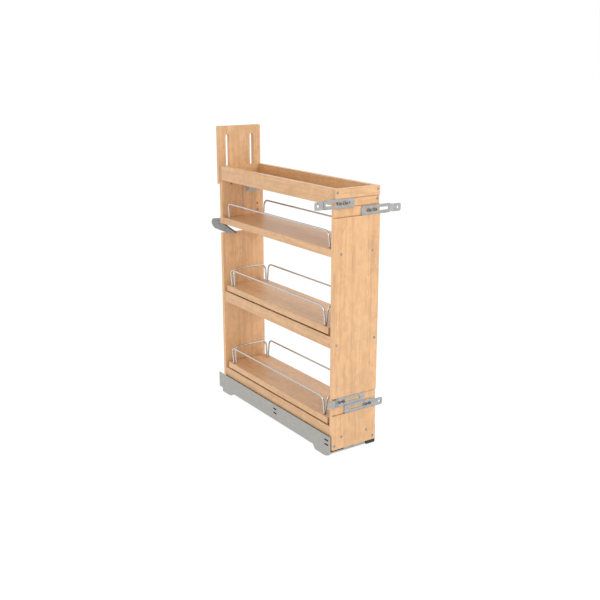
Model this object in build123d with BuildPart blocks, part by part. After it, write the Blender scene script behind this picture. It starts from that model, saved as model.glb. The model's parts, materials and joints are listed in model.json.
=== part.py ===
from build123d import *
import os

os.makedirs("parts", exist_ok=True)

# A narrow pull-out cabinet organiser: a wooden carriage with a top tray, a fixed shelf and two
# lift-off shelves, on a pair of full-extension slides between two steel side plates.
# +X is to the right, -Y to the front (the way it pulls out), +Z up. The origin is on the floor,
# at the centre of the four floor screw holes. Sizes are in millimetres.

# ---- driving dimensions

# Wooden carriage
case_width = 130.0            # front panel, side to side
case_depth = 527.0            # front face of the front panel to back face of the rear panels
front_panel_height = 586.5
floor_gap = 20.0              # floor to the front panel's bottom edge
panel_thickness = 12.0
shelf_thickness = 16.0
upper_shelf_thickness = 18.0
base_board_thickness = 23.5
shelf_side_inset = 1.0        # fixed shelves, from the panels' side edges
shelf_screw_inset = 20.0
shelf_screw_rise = 7.0        # shelf's underside to its screws
slide_space = 34.5            # front panel's bottom edge up to the base board's underside

# Levels
stretcher_level = 275.0       # floor to the underside of the middle stretchers
stretcher_height = 28.5
stretcher_thickness = 16.0
stretcher_screw_rise = 10.0
upper_shelf_drop = 113.0      # front panel's top edge down to the upper shelf's underside
rear_gap_height = 26.5        # open gap between the two rear panels

# Lift-off shelves
lift_shelf_inset = 2.5        # from the panels' side edges
lift_shelf_end_gap = 12.0     # to the front and rear panels
lift_shelf_float = 3.5        # over the base board and the stretchers, on rubber strips
strip_width = 6.0
strip_end_inset = 10.0        # from the lift-off shelf's ends

# Wire rails
wire_radius = 2.4
wire_bend_radius = 14.0
wire_socket_depth = 8.0
socket_mouth_gap = 0.9        # wire to the wider mouth of its socket
socket_mouth_depth = 0.8
upper_rail_side_inset = 11.0  # panels' side edges to the rail's feet
upper_rail_lean = 4.0         # how far the legs lean outward over their height
upper_rail_height = 39.5      # shelf top to wire centre
upper_rail_end_gap = 20.0     # panels to the rail's legs
lift_rail_height = 47.5
long_rail_side_inset = 8.0
long_rail_lean = 4.5
long_rail_end_inset = 20.0    # lift-off shelf's end to the long rail's legs
short_rail_end_inset = 23.0
short_rail_side_inset = 13.5
short_rail_lean = 6.0

# Top tray
tray_height = 43.0
tray_wall = 12.0
tray_side_inset = 1.5
tray_floor_thickness = 6.0
tray_side_rise = 5.5          # front panel's top edge up to the tray's side walls and floor
tray_screw_rises = (13.0, 35.0)

# Channels for the door brackets
channel_height = 44.0
channel_depth = 2.5
relief_groove = 1.6           # width and depth of the grooves along the channels' edges and the tray joint
lower_channel_level = 108.0   # floor to the channel's lower edge
upper_channel_drop = 22.5     # front panel's top edge down to the channel's lower edge

# Door brackets
bracket_length = 112.0
bracket_height = 21.6
bracket_thickness = 2.0
bracket_neck_length = 28.0
bracket_neck_height = 18.5
bracket_corner = 2.0
bracket_tip_corner = 4.0
bracket_neck_overlap = 8.0    # the neck's outline runs on into the body's
bracket_rib_end_gap = 2.0
bracket_offset = 5.0          # how far the neck stands in front of the body
bracket_ramp = 6.0
bracket_rib_width = 1.5
bracket_rib_height = 1.2
bracket_slot_length = 68.0
bracket_slot_width = 7.0
bracket_slot_start = 11.5     # wide end to the slot's near end
bracket_hole_radius = 3.25
bracket_hole_inset = 9.0      # tip to the door screw hole
bracket_seat_gap = 0.1
upper_bracket_reach = 122.5   # centre plane to the tips of the upper pair
lower_bracket_reach = 82.5
upper_bracket_screw_x = (51.0, 34.0)  # outer and inner screw, from the centre plane
lower_bracket_screw_x = (46.0, 34.0)

# Sliding back plate
plate_width = 130.0
plate_height = 154.5
plate_thickness = 12.0
plate_drop = 6.5              # front panel's top edge down to the plate's lower edge
plate_slot_offset = 37.5      # centre plane to each slot
plate_slot_width = 11.5
plate_slot_length = 102.0
plate_slot_top_inset = 22.0
plate_slip = 0.2
plate_washer_radius = 9.0
plate_corner = 2.0

# Rear upper panel
finger_slot_width = 6.5
finger_slot_length = 72.0
finger_slot_rise = 29.5       # panel's lower edge to the slot's lower end
spare_hole_radius = 2.4
spare_hole_depth = 10.5
spare_holes = ((46.0, -83.6), (46.0, -65.8), (-35.0, -5.7))  # x, and height from the panel's top edge

# Steel base
plate_lead = 4.0              # the front panel stands this far ahead of the side plates
plate_tail = 23.0             # the side plates run this far behind the rear panels
side_gap = 2.0                # wood to side plate
sheet = 2.0
side_plate_top = 54.5
side_plate_bottom = 11.0
front_foot_length = 71.0
front_foot_toe = (26.0, 9.7)  # length and height of the sloped toe
rear_foot_length = 62.0
rear_foot_inset = 18.0
front_foot_slope = 8.0
rear_foot_slope = 20.0
foot_corner = 2.0
foot_tab_reach = 45.0
foot_tab_length = 40.0
floor_hole_side_inset = 39.0  # side plate's inner face to the floor screw holes
floor_hole_end_inset = 41.0   # side plate's ends to the floor screw holes
floor_hole_radius = 2.5
side_slot_length = 16.0
side_slot_width = 4.0
side_slot_levels = (31.0, 42.4)
side_slot_insets = (15.0, 246.0)  # plate's front end to the slot centres
cross_bar_width = 25.0
cross_bar_sheet = 1.5
cross_bar_height = 7.5
cross_bar_low_height = 4.0    # the front bar's web, left of its raised strip
cross_bar_strip = (-27.0, 38.0)   # raised strip of the front bar, left and right ends
cross_bar_screw_x = 0.5
cross_bar_screw_rise = 4.0
cross_bar_screw_length = 6.0
cross_bar_screw_head_radius = 3.0

# Slides
slide_sheet = 1.5
slide_front_gap = 7.0         # front panel's back face to the slides
slide_rear_gap = 8.0          # rear panels' back face to the slides' rear ends
slide_bottom = 22.0
cabinet_member_width = 33.0
cabinet_member_height = 12.5
inner_beam_width = 24.0
inner_beam_web = 2.0
drawer_member_width = 29.0
drawer_member_height = 12.6
slide_lip = 5.0
roller_radius = 3.5
roller_length = 18.0
roller_axle_radius = 1.5
roller_axle_overhang = 1.5
roller_count = 8
roller_pitch = 24.0
roller_gap = 0.3
axle_clearance = 0.05
cage_thickness = 4.2
cage_width = 23.0
cage_length = 200.0
cage_window_gap = 0.4
cage_setback = 146.0          # slide's front end to the cage's front end
front_flange_thickness = 2.0
front_flange_width = 33.5
front_flange_inset = 0.5      # from the front panel's side edge
front_flange_rise = 3.0       # front panel's bottom edge up to the flange's
front_flange_corner = 2.0
front_flange_drop = 0.5       # below the base board
flange_low_screw = (7.0, 10.0)    # from the front panel's side edge and bottom edge
flange_high_screw = (27.0, 4.0)   # from the front panel's side edge, and below the base board
member_screw_inset = 50.0     # slide's ends to the outer screws of the base board

# Soft-close unit under the right-hand slide
closer_width = 24.0
closer_length = 118.0
closer_lead = 6.0             # ahead of the slide's front end
closer_inset = 3.0            # from the side plate
closer_corner = 3.5
closer_nose_reach = 2.2       # ahead of the front cross bar
closer_nose_extra_width = 2.0
closer_nose_z = (10.0, 18.5)
closer_gap = 0.1              # nose to the cross bar it hooks over

# Guide arm and tray bracket
guide_arm_width = 8.0
guide_arm_side_inset = 2.0
guide_foot_length = 32.0
guide_foot_height = 13.0
guide_foot_thickness = 5.0
guide_foot_rise = 3.0         # upper shelf's underside to the foot
guide_screw_offsets = (12.0, 27.0)  # arm's outer side to its two screws
guide_screw_rise = 7.0
guide_head_rise = 11.5        # upper shelf's underside to the arm's highest point
guide_droop = 2.0             # how much lower the arm's underside is at the front
tray_bracket_x = (11.0, 49.0)
tray_bracket_drop = 35.5      # the tray's underside to the bracket leg's lower end
tray_bracket_reach = 32.0
tray_bracket_edge = 6.5       # edges to the screws
tray_bracket_slot = (22.0, 6.0)
tray_bracket_slot_rise = 15.5
tray_bracket_screw_lead = 10.0  # the bracket's front edge to the screws in the tray's floor

# Fasteners
wood_screw_radius = 2.0
wood_screw_head_radius = 3.6
wood_screw_head_height = 2.0
wood_screw_length = 32.0
short_screw_radius = 1.6
short_screw_head_radius = 3.2
short_screw_head_height = 1.8
pan_head_radius = 4.0
pan_head_height = 2.6
washer_radius = 6.0
washer_thickness = 1.0
screw_clearance = 0.1
blind_wall = 2.0              # wood left beyond the end of a blind hole
screw_end_gap = 1.0           # short screw's end to the end of its hole
recess_length = 3.6
recess_width = 0.9
recess_depth = 1.0

# ---- places worked out from them

half_width = case_width / 2
base_length = case_depth - plate_lead + plate_tail
base_front = -base_length / 2
base_rear = base_length / 2
front_y = base_front - plate_lead
rear_y = front_y + case_depth
inner_front = front_y + panel_thickness
inner_rear = rear_y - panel_thickness

panel_bottom = floor_gap
panel_top = panel_bottom + front_panel_height
board_bottom = panel_bottom + slide_space
board_top = board_bottom + base_board_thickness
lower_shelf_level = board_top + lift_shelf_float
stretcher_top = stretcher_level + stretcher_height
middle_shelf_level = stretcher_top + lift_shelf_float
upper_shelf_level = panel_top - upper_shelf_drop
upper_shelf_top = upper_shelf_level + upper_shelf_thickness
rear_lower_top = upper_shelf_level - rear_gap_height
tray_top = panel_top + tray_height
tray_underside = panel_top + tray_side_rise
upper_channel_level = panel_top - upper_channel_drop
fixed_shelf_half = half_width - shelf_side_inset
stretcher_x = fixed_shelf_half - stretcher_thickness / 2
tray_half = half_width - tray_side_inset
lift_shelf_half = half_width - lift_shelf_inset
lift_shelf_front = inner_front + lift_shelf_end_gap
lift_shelf_rear = inner_rear - lift_shelf_end_gap
side_inner_x = half_width + side_gap
side_outer_x = side_inner_x + sheet
floor_hole_x = side_inner_x - floor_hole_side_inset
floor_hole_y = base_length / 2 - floor_hole_end_inset
left_and_right = (("left", -1), ("right", 1))


# ---- small helpers

def save(piece, name):
    # names the finished piece and writes its file
    piece.part.label = name
    export_step(piece.part, f"parts/{name}.step")


def block(x_span, y_span, z_span, mode=Mode.ADD):
    # a straight-sided block between two corners, added to the piece being built
    with BuildSketch(Plane.XY.offset(z_span[0])) as footprint:
        with Locations(((x_span[0] + x_span[1]) / 2, (y_span[0] + y_span[1]) / 2)):
            Rectangle(abs(x_span[1] - x_span[0]), abs(y_span[1] - y_span[0]))
    extrude(footprint.sketch, amount=z_span[1] - z_span[0], mode=mode)


def rod(start, direction, radius, length, mode=Mode.ADD):
    # a round bar or hole that begins at a point and runs along a direction
    with BuildSketch(Plane(origin=start, z_dir=direction)) as circle:
        Circle(radius)
    extrude(circle.sketch, amount=length, mode=mode)


def screw(seat, inward, radius, length, head_radius, head_height):
    # a cross-head screw: the head stands on the seat, the shank runs inward from it
    outward = tuple(-part for part in inward)
    rod(seat, outward, head_radius, head_height)
    rod(seat, inward, radius, length)
    top = tuple(place + head_height * part for place, part in zip(seat, outward))
    with BuildSketch(Plane(origin=top, z_dir=inward)) as recess:
        Rectangle(recess_length, recess_width)
        Rectangle(recess_width, recess_length)
    extrude(recess.sketch, amount=recess_depth, mode=Mode.SUBTRACT)


def flush_screw_hole(face_point, inward, depth):
    # the counterbore and pilot hole of a wood screw whose head is flush with the face
    rod(face_point, inward, wood_screw_head_radius + screw_clearance, wood_screw_head_height, Mode.SUBTRACT)
    rod(face_point, inward, wood_screw_radius + screw_clearance, depth, Mode.SUBTRACT)


def flush_screw(face_point, inward, length):
    seat = tuple(place + wood_screw_head_height * part for place, part in zip(face_point, inward))
    screw(seat, inward, wood_screw_radius, length - wood_screw_head_height,
          wood_screw_head_radius, wood_screw_head_height)


def rail_path(start, end, lean, height):
    # the corners of a bent wire: its legs enter the shelf's top at two points and both lean the same way
    sunk = -wire_socket_depth / height
    corners = ((start, sunk), (start, 1), (end, 1), (end, sunk))
    return [(x + lean[0] * share, y + lean[1] * share, z + height * share) for (x, y, z), share in corners]


def wire_rail(points):
    # one bent wire: a leg down at each end of a straight top run
    leg = Vector(*points[1]) - Vector(*points[0])
    with BuildLine() as path:
        FilletPolyline(*points, radius=wire_bend_radius)
    with BuildSketch(Plane(origin=points[0], z_dir=leg)) as section:
        Circle(wire_radius)
    sweep(section.sketch, path=path.line)


def rail_sockets(points):
    # the two slanted holes that hold a rail's feet, each with a wider mouth at the shelf's top
    for foot, shoulder in ((points[0], points[1]), (points[3], points[2])):
        leg = Vector(*shoulder) - Vector(*foot)
        mouth = Vector(*foot) + leg * (wire_socket_depth / leg.Z)
        rod(foot, leg, wire_radius + screw_clearance, 2 * wire_socket_depth, Mode.SUBTRACT)
        rod(mouth, downward, wire_radius + socket_mouth_gap, socket_mouth_depth, Mode.SUBTRACT)


to_rear = (0, 1, 0)
to_front = (0, -1, 0)
upward = (0, 0, 1)
downward = (0, 0, -1)

# ---- screw places, shared by wood and screws

shelf_screw_x = half_width - shelf_screw_inset
shelf_screw_z = upper_shelf_level + shelf_screw_rise
stretcher_screw_z = stretcher_level + stretcher_screw_rise
shelf_screw_places = [(x, shelf_screw_z) for x in (-shelf_screw_x, shelf_screw_x)]
shelf_screw_places += [(x, stretcher_screw_z) for x in (-stretcher_x, stretcher_x)]
board_screw_places = [(x, board_bottom + base_board_thickness / 2) for x in (-shelf_screw_x, shelf_screw_x)]
tray_screw_x = tray_half - tray_wall / 2
tray_screw_levels = [panel_top + rise for rise in tray_screw_rises]
tray_screw_places = [(x, z) for x in (-tray_screw_x, tray_screw_x) for z in tray_screw_levels]
flange_screw_places = [(side * (half_width - flange_low_screw[0]), panel_bottom + flange_low_screw[1])
                       for side in (-1, 1)]
flange_screw_places += [(side * (half_width - flange_high_screw[0]), board_bottom - flange_high_screw[1])
                        for side in (-1, 1)]

drawer_member_x = half_width - drawer_member_width / 2
slide_front = inner_front + slide_front_gap
slide_rear = rear_y - slide_rear_gap
member_screw_ys = (slide_front + member_screw_inset, (slide_front + slide_rear) / 2,
                   slide_rear - member_screw_inset)
base_screw_places = [(side * drawer_member_x, y) for side in (-1, 1) for y in member_screw_ys]


def bracket_level(channel_bottom, side):
    # the left-hand bracket lies in the upper half of its channel, the right-hand one in the lower half
    row = 0.75 if side < 0 else 0.25
    return channel_bottom + row * channel_height


bracket_screw_places = [(side * x, bracket_level(level, side))
                        for level, screw_xs in ((upper_channel_level, upper_bracket_screw_x),
                                                (lower_channel_level, lower_bracket_screw_x))
                        for side in (-1, 1) for x in screw_xs]
channel_floor = front_y + channel_depth


def tray_screw_face(z):
    # a screw inside the bracket channel sits on the channel's floor
    return channel_floor if z < upper_channel_level + channel_height else front_y


plate_bottom = panel_top - plate_drop
plate_slot_top = plate_bottom + plate_height - plate_slot_top_inset
plate_slot_bottom = plate_slot_top - plate_slot_length
plate_screw_z = plate_slot_bottom + plate_slot_width / 2
plate_screw_places = [(-plate_slot_offset, plate_screw_z), (plate_slot_offset, plate_screw_z)]

guide_x = -half_width + guide_arm_side_inset
guide_foot_z = upper_shelf_level + guide_foot_rise
guide_screw_places = [(guide_x + offset, guide_foot_z + guide_screw_rise) for offset in guide_screw_offsets]
bracket_face = inner_rear - sheet
bracket_low = tray_underside - tray_bracket_drop
bracket_screw_xs = (tray_bracket_x[0] + tray_bracket_edge, tray_bracket_x[1] - tray_bracket_edge)
bracket_leg_screws = [(x, bracket_low + tray_bracket_edge) for x in bracket_screw_xs]
tray_bracket_front = inner_rear - tray_bracket_reach
bracket_top_screws = [(x, tray_bracket_front + tray_bracket_screw_lead) for x in bracket_screw_xs]

# ---- wooden carriage

with BuildPart() as front_panel:
    block((-half_width, half_width), (front_y, inner_front), (panel_bottom, panel_top))
    for level in (lower_channel_level, upper_channel_level):
        block((-half_width, half_width), (front_y, channel_floor),
              (level, level + channel_height), Mode.SUBTRACT)
        for groove_low in (level, level + channel_height - relief_groove):
            block((-half_width, half_width), (channel_floor, channel_floor + relief_groove),
                  (groove_low, groove_low + relief_groove), Mode.SUBTRACT)
    for x, z in shelf_screw_places:
        flush_screw_hole((x, front_y, z), to_rear, panel_thickness)
    for x, z in flange_screw_places:
        flush_screw_hole((x, front_y, z), to_rear, panel_thickness)
    for x, z in bracket_screw_places:
        if z < panel_top:
            rod((x, front_y, z), to_rear, wood_screw_radius + screw_clearance, panel_thickness, Mode.SUBTRACT)
save(front_panel, "front_panel")

with BuildPart() as rear_lower_panel:
    block((-half_width, half_width), (inner_rear, rear_y), (board_bottom, rear_lower_top))
    for x, z in board_screw_places + [place for place in shelf_screw_places if place[1] < rear_lower_top]:
        flush_screw_hole((x, rear_y, z), to_front, panel_thickness)
save(rear_lower_panel, "rear_lower_panel")

with BuildPart() as rear_upper_panel:
    block((-half_width, half_width), (inner_rear, rear_y), (upper_shelf_level, panel_top))
    slot_center = upper_shelf_level + finger_slot_rise + finger_slot_length / 2
    with BuildSketch(Plane(origin=(0, rear_y, slot_center), x_dir=(0, 0, 1), z_dir=to_front)):
        SlotOverall(finger_slot_length, finger_slot_width)
    extrude(amount=panel_thickness, mode=Mode.SUBTRACT)
    for x, z in [place for place in shelf_screw_places if place[1] > rear_lower_top]:
        flush_screw_hole((x, rear_y, z), to_front, panel_thickness)
    for x, height in spare_holes:
        rod((x, inner_rear, panel_top + height), to_rear, spare_hole_radius, spare_hole_depth, Mode.SUBTRACT)
    for x, z in guide_screw_places:
        rod((x, rear_y, z), to_front, short_screw_radius + screw_clearance,
            panel_thickness - blind_wall, Mode.SUBTRACT)
    for x, z in bracket_leg_screws:
        rod((x, inner_rear, z), to_rear, short_screw_radius + screw_clearance,
            panel_thickness - blind_wall, Mode.SUBTRACT)
save(rear_upper_panel, "rear_upper_panel")

upper_rail_ys = (inner_front + upper_rail_end_gap, inner_rear - upper_rail_end_gap)
upper_rail_x = half_width - upper_rail_side_inset
upper_rail_paths = {
    side_name: rail_path((side * upper_rail_x, upper_rail_ys[0], upper_shelf_top),
                         (side * upper_rail_x, upper_rail_ys[1], upper_shelf_top),
                         (side * upper_rail_lean, 0), upper_rail_height)
    for side_name, side in left_and_right
}

with BuildPart() as upper_shelf:
    block((-fixed_shelf_half, fixed_shelf_half), (inner_front, inner_rear),
          (upper_shelf_level, upper_shelf_top))
    for x, z in [place for place in shelf_screw_places if place[1] > rear_lower_top]:
        for face, inward in ((inner_front, to_rear), (inner_rear, to_front)):
            rod((x, face, z), inward, wood_screw_radius + screw_clearance,
                wood_screw_length - panel_thickness, Mode.SUBTRACT)
    for points in upper_rail_paths.values():
        rail_sockets(points)
save(upper_shelf, "upper_shelf")

for side_name, side in left_and_right:
    with BuildPart() as middle_stretcher:
        x = side * stretcher_x
        block((x - stretcher_thickness / 2, x + stretcher_thickness / 2), (inner_front, inner_rear),
              (stretcher_level, stretcher_top))
        for face, inward in ((inner_front, to_rear), (inner_rear, to_front)):
            rod((x, face, stretcher_screw_z), inward, wood_screw_radius + screw_clearance,
                wood_screw_length - panel_thickness, Mode.SUBTRACT)
    save(middle_stretcher, f"middle_stretcher_{side_name}")

with BuildPart() as base_board:
    block((-fixed_shelf_half, fixed_shelf_half), (inner_front, inner_rear), (board_bottom, board_top))
    for x, z in board_screw_places:
        rod((x, inner_rear, z), to_front, wood_screw_radius + screw_clearance,
            wood_screw_length - panel_thickness, Mode.SUBTRACT)
    for x, y in base_screw_places:
        flush_screw_hole((x, y, board_top), downward, base_board_thickness)
save(base_board, "base_board")

# ---- top tray

with BuildPart() as tray_front_wall:
    block((-tray_half, tray_half), (front_y, inner_front), (panel_top, tray_top))
    block((-tray_half, tray_half), (front_y, channel_floor),
          (panel_top, upper_channel_level + channel_height), Mode.SUBTRACT)
    for groove_low in (panel_top, upper_channel_level + channel_height - relief_groove):
        block((-tray_half, tray_half), (channel_floor, channel_floor + relief_groove),
              (groove_low, groove_low + relief_groove), Mode.SUBTRACT)
    for x, z in tray_screw_places:
        flush_screw_hole((x, tray_screw_face(z), z), to_rear, panel_thickness)
    for x, z in bracket_screw_places:
        if z > panel_top:
            rod((x, front_y, z), to_rear, wood_screw_radius + screw_clearance, panel_thickness, Mode.SUBTRACT)
save(tray_front_wall, "tray_front_wall")

with BuildPart() as tray_rear_wall:
    block((-tray_half, tray_half), (inner_rear, rear_y), (panel_top, tray_top))
    for x, z in tray_screw_places:
        flush_screw_hole((x, rear_y, z), to_front, panel_thickness)
    for x, z in plate_screw_places:
        rod((x, rear_y, z), to_front, wood_screw_radius + screw_clearance,
            panel_thickness - blind_wall, Mode.SUBTRACT)
save(tray_rear_wall, "tray_rear_wall")

for side_name, side in left_and_right:
    with BuildPart() as tray_side_wall:
        block((side * tray_half, side * (tray_half - tray_wall)), (inner_front, inner_rear),
              (tray_underside, tray_top))
        for z in tray_screw_levels:
            for face, inward in ((inner_front, to_rear), (inner_rear, to_front)):
                rod((side * tray_screw_x, face, z), inward, wood_screw_radius + screw_clearance,
                    wood_screw_length - panel_thickness + channel_depth, Mode.SUBTRACT)
    save(tray_side_wall, f"tray_{side_name}_wall")

with BuildPart() as tray_floor:
    block((-tray_half + tray_wall, tray_half - tray_wall), (inner_front, inner_rear),
          (tray_underside, tray_underside + tray_floor_thickness))
    for x, y in bracket_top_screws:
        rod((x, y, tray_underside), upward, short_screw_radius + screw_clearance,
            tray_floor_thickness - blind_wall, Mode.SUBTRACT)
save(tray_floor, "tray_floor")

# ---- wire rails and lift-off shelves

for side_name, points in upper_rail_paths.items():
    with BuildPart() as upper_rail:
        wire_rail(points)
    save(upper_rail, f"upper_rail_{side_name}")

long_rail_x = half_width - long_rail_side_inset
long_rail_ys = (lift_shelf_front + long_rail_end_inset, lift_shelf_rear - long_rail_end_inset)
short_rail_x = half_width - short_rail_side_inset
short_rail_ends = (("front", -1, lift_shelf_front + short_rail_end_inset),
                   ("rear", 1, lift_shelf_rear - short_rail_end_inset))

for shelf_name, level in (("middle", middle_shelf_level), ("lower", lower_shelf_level)):
    top = level + shelf_thickness
    rail_paths = {}
    for side_name, side in left_and_right:
        x = side * long_rail_x
        rail_paths[side_name] = rail_path((x, long_rail_ys[0], top), (x, long_rail_ys[1], top),
                                          (side * long_rail_lean, 0), lift_rail_height)
    for end_name, end, y in short_rail_ends:
        rail_paths[end_name] = rail_path((-short_rail_x, y, top), (short_rail_x, y, top),
                                         (0, end * short_rail_lean), lift_rail_height)
    with BuildPart() as lift_shelf:
        block((-lift_shelf_half, lift_shelf_half), (lift_shelf_front, lift_shelf_rear), (level, top))
        for points in rail_paths.values():
            rail_sockets(points)
    save(lift_shelf, f"{shelf_name}_shelf")
    for rail_name, points in rail_paths.items():
        with BuildPart() as shelf_rail:
            wire_rail(points)
        save(shelf_rail, f"{shelf_name}_rail_{rail_name}")
    with BuildPart() as shelf_strips:
        for x in (-stretcher_x, stretcher_x):
            block((x - strip_width / 2, x + strip_width / 2),
                  (lift_shelf_front + strip_end_inset, lift_shelf_rear - strip_end_inset),
                  (level - lift_shelf_float, level))
    save(shelf_strips, f"{shelf_name}_shelf_strips")

# ---- sliding back plate

with BuildPart() as back_plate:
    plate_front = rear_y + plate_slip
    block((-plate_width / 2, plate_width / 2), (plate_front, plate_front + plate_thickness),
          (plate_bottom, plate_bottom + plate_height))
    slot_middle = (plate_slot_top + plate_slot_bottom) / 2
    for x in (-plate_slot_offset, plate_slot_offset):
        with BuildSketch(Plane(origin=(x, plate_front, slot_middle), x_dir=(0, 0, 1), z_dir=to_rear)):
            SlotOverall(plate_slot_length, plate_slot_width)
        extrude(amount=plate_thickness, mode=Mode.SUBTRACT)
    top_corners = back_plate.edges().filter_by(Axis.Y).group_by(Axis.Z)[-1]
    fillet(top_corners, radius=plate_corner)
save(back_plate, "back_plate")

plate_washer_seat = rear_y + plate_thickness + 2 * plate_slip

with BuildPart() as plate_screws:
    head_seat = plate_washer_seat + washer_thickness
    for x, z in plate_screw_places:
        screw((x, head_seat, z), to_front, wood_screw_radius, plate_thickness + panel_thickness - blind_wall,
              pan_head_radius, pan_head_height)
save(plate_screws, "plate_screws")

# ---- door brackets


def door_bracket(tip_x, side, center_z):
    # a flat slotted strap with ribbed edges, whose narrower neck steps forward to meet the door
    wide_x = tip_x - side * bracket_length
    neck_x = tip_x - side * bracket_neck_length
    ramp_x = neck_x + side * bracket_ramp
    back = channel_floor - bracket_seat_gap
    face = back - bracket_thickness
    low = center_z - bracket_height / 2
    with BuildSketch(Plane.XY.offset(low)) as profile:
        with BuildLine():
            Polyline((wide_x, back), (neck_x, back), (ramp_x, back - bracket_offset),
                     (tip_x, back - bracket_offset), (tip_x, face - bracket_offset),
                     (ramp_x, face - bracket_offset), (neck_x, face), (wide_x, face), close=True)
        make_face()
    extrude(profile.sketch, amount=bracket_height)
    for rib_low in (low, low + bracket_height - bracket_rib_width):
        block((wide_x, neck_x - side * bracket_rib_end_gap), (face - bracket_rib_height, face),
              (rib_low, rib_low + bracket_rib_width))
    slot_x = wide_x + side * (bracket_slot_start + bracket_slot_length / 2)
    with BuildSketch(Plane(origin=(slot_x, back, center_z), x_dir=(1, 0, 0), z_dir=to_front)) as slot:
        SlotOverall(bracket_slot_length, bracket_slot_width)
    extrude(slot.sketch, amount=bracket_thickness, mode=Mode.SUBTRACT)
    # the outline seen from the front: a wide body, then a narrower neck with rounded corners
    with BuildSketch(Plane(origin=(0, back, center_z), x_dir=(1, 0, 0), z_dir=to_front)) as outline:
        with Locations(((wide_x + neck_x) / 2, 0)):
            RectangleRounded(abs(neck_x - wide_x), bracket_height, bracket_corner)
        with Locations(((neck_x + tip_x - side * bracket_neck_overlap) / 2, 0)):
            RectangleRounded(bracket_neck_length + bracket_neck_overlap, bracket_neck_height,
                             bracket_tip_corner)
    depth = bracket_offset + bracket_thickness
    extrude(outline.sketch, amount=depth + bracket_rib_height, mode=Mode.INTERSECT)
    hole_x = tip_x - side * bracket_hole_inset
    rod((hole_x, back, center_z), to_front, bracket_hole_radius, depth, Mode.SUBTRACT)


for row_name, channel_level, reach in (("upper", upper_channel_level, upper_bracket_reach),
                                       ("lower", lower_channel_level, lower_bracket_reach)):
    for side_name, side in left_and_right:
        with BuildPart() as bracket:
            door_bracket(side * reach, side, bracket_level(channel_level, side))
        save(bracket, f"door_bracket_{row_name}_{side_name}")

bracket_washer_seat = channel_floor - 2 * bracket_seat_gap - bracket_thickness

with BuildPart() as bracket_screws:
    washer_front = bracket_washer_seat - washer_thickness
    for x, z in bracket_screw_places:
        screw((x, washer_front, z), to_rear, wood_screw_radius, inner_front - washer_front,
              pan_head_radius, pan_head_height)
save(bracket_screws, "bracket_screws")

with BuildPart() as washers:
    for places, seat, outward, radius in (
            (bracket_screw_places, bracket_washer_seat, to_front, washer_radius),
            (plate_screw_places, plate_washer_seat, to_rear, plate_washer_radius)):
        for x, z in places:
            rod((x, seat, z), outward, radius, washer_thickness)
            rod((x, seat, z), outward, wood_screw_radius + screw_clearance, washer_thickness, Mode.SUBTRACT)
save(washers, "washers")

# ---- wood screws

with BuildPart() as front_panel_screws:
    for x, z in shelf_screw_places:
        flush_screw((x, front_y, z), to_rear, wood_screw_length)
save(front_panel_screws, "front_panel_screws")

with BuildPart() as rear_panel_screws:
    for x, z in shelf_screw_places + board_screw_places:
        flush_screw((x, rear_y, z), to_front, wood_screw_length)
save(rear_panel_screws, "rear_panel_screws")

with BuildPart() as tray_screws:
    for x, z in tray_screw_places:
        flush_screw((x, tray_screw_face(z), z), to_rear, wood_screw_length)
    for x, z in tray_screw_places:
        flush_screw((x, rear_y, z), to_front, wood_screw_length)
save(tray_screws, "tray_screws")

with BuildPart() as base_screws:
    for x, y in base_screw_places:
        flush_screw((x, y, board_top), downward, base_board_thickness + slide_sheet)
save(base_screws, "base_screws")

with BuildPart() as flange_screws:
    for x, z in flange_screw_places:
        flush_screw((x, front_y, z), to_rear, panel_thickness + front_flange_thickness)
save(flange_screws, "flange_screws")

# ---- guide arm and tray bracket

with BuildPart() as guide_arm:
    # side outline of the arm: a flat underside, a pointed nose to the front and a round tail
    arm_low = rear_lower_top + 6.2
    nose_y = inner_rear - 61.0
    tail_y = rear_y + 56.5
    under_panel = upper_shelf_level - 2.0
    head_top = upper_shelf_level + guide_head_rise
    with BuildSketch(Plane(origin=(guide_x, 0, 0), x_dir=(0, 1, 0), z_dir=(1, 0, 0))):
        with BuildLine():
            nose_low = (nose_y, arm_low + 3.5)
            nose_high = (nose_y + 2.0, arm_low + 6.5)
            Line((inner_rear - 14.0, arm_low - guide_droop), (rear_y + 27.0, arm_low))
            ThreePointArc((rear_y + 27.0, arm_low), (rear_y + 46.0, arm_low + 3.5), (tail_y, arm_low + 13.0))
            ThreePointArc((tail_y, arm_low + 13.0), (tail_y - 4.0, arm_low + 22.5),
                          (tail_y - 16.0, arm_low + 27.0))
            Line((tail_y - 16.0, arm_low + 27.0), (rear_y + 15.0, head_top))
            Line((rear_y + 15.0, head_top), (rear_y, head_top))
            Line((rear_y, head_top), (rear_y, under_panel))
            Line((rear_y, under_panel), (inner_rear - 2.0, under_panel))
            ThreePointArc((inner_rear - 2.0, under_panel), (inner_rear - 20.0, arm_low + 13.5), nose_high)
            Line(nose_high, nose_low)
            Line(nose_low, (inner_rear - 14.0, arm_low - guide_droop))
        make_face()
    extrude(amount=guide_arm_width)
    fillet(guide_arm.edges().filter_by(Axis.X).group_by(Axis.Y)[0], radius=1.0)
    for y, z in ((rear_y + 16.0, head_top - 6.0), (rear_y + 12.0, head_top - 15.5),
                 (inner_rear - 10.0, arm_low + 9.0)):
        rod((guide_x, y, z), (1, 0, 0), 2.2, guide_arm_width, Mode.SUBTRACT)
    block((guide_x, guide_x + guide_foot_length), (rear_y, rear_y + guide_foot_thickness),
          (guide_foot_z, guide_foot_z + guide_foot_height))
    for x, z in guide_screw_places:
        rod((x, rear_y, z), to_rear, short_screw_radius + screw_clearance,
            guide_foot_thickness, Mode.SUBTRACT)
save(guide_arm, "guide_arm")

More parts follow.
